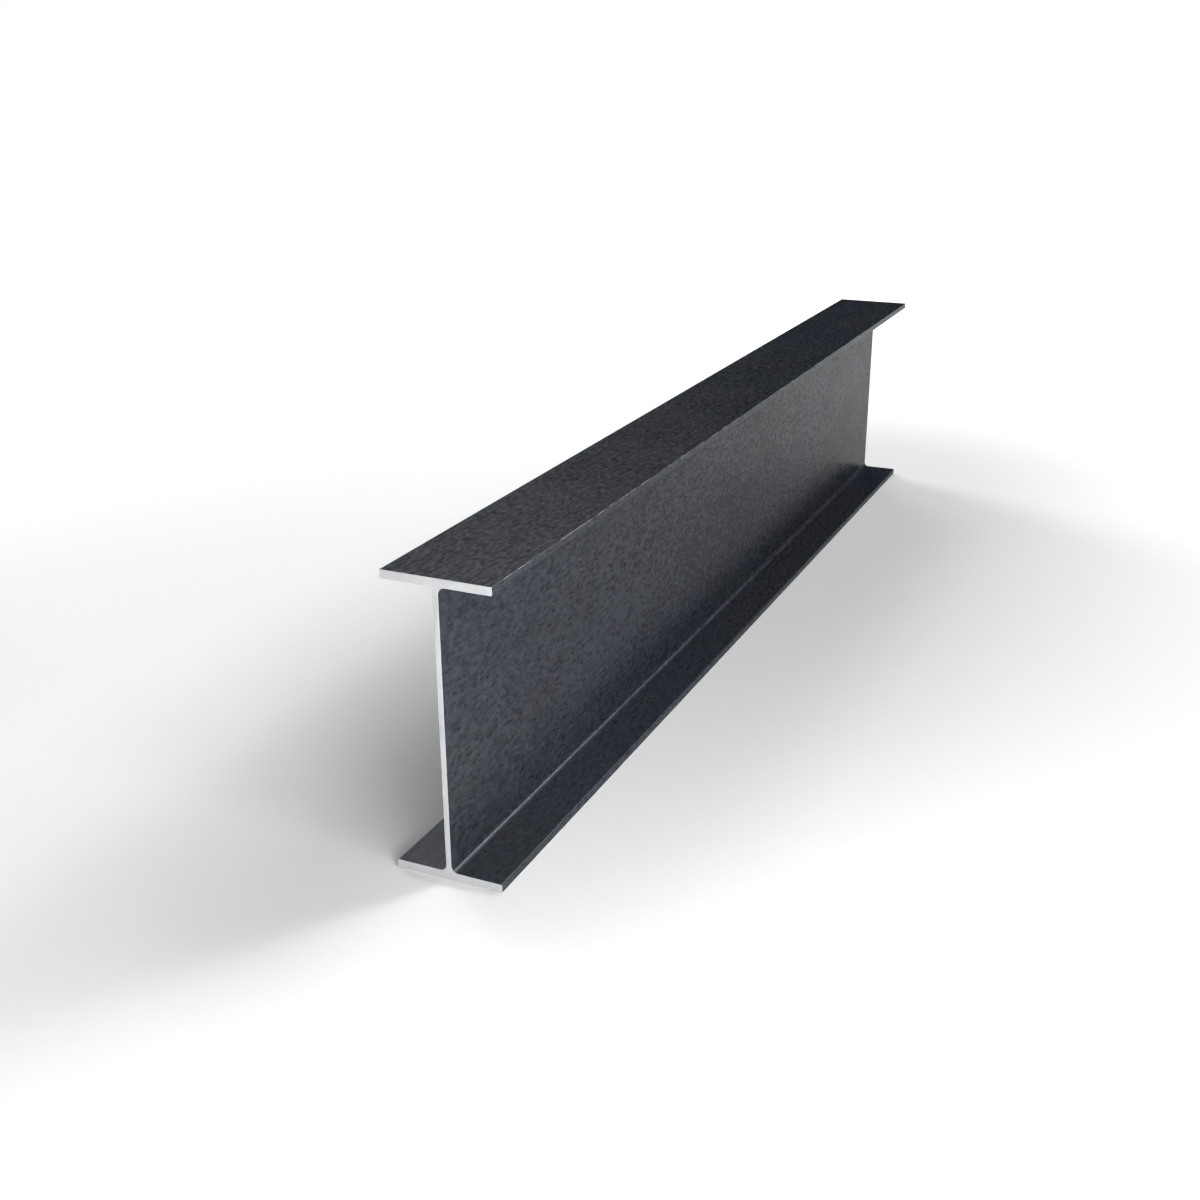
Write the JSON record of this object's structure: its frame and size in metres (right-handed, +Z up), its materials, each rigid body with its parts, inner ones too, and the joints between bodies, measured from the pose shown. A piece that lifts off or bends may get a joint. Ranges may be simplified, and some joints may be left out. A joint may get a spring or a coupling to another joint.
{
  "type": "steel i-beam",
  "caption": "Length of hot-rolled steel I-section beam with parallel flanges, square-sawn ends and a dark blue-grey mill-scale finish, for building frames and floors.",
  "frame": {"origin": "middle of the underside of the bottom flange, at mid length", "axes": "+X along the beam, +Y across the flanges, +Z up through the web"},
  "size_m": [3.35, 0.2536, 0.6835],
  "materials": {
    "mill_scale_steel": "dark blue-grey mill scale, satin, finely streaked along the beam; bare pale grey on the sawn ends"
  },
  "bodies": {
    "root": {"rolled_beam": "mill_scale_steel"}
  },
  "joints": []
}
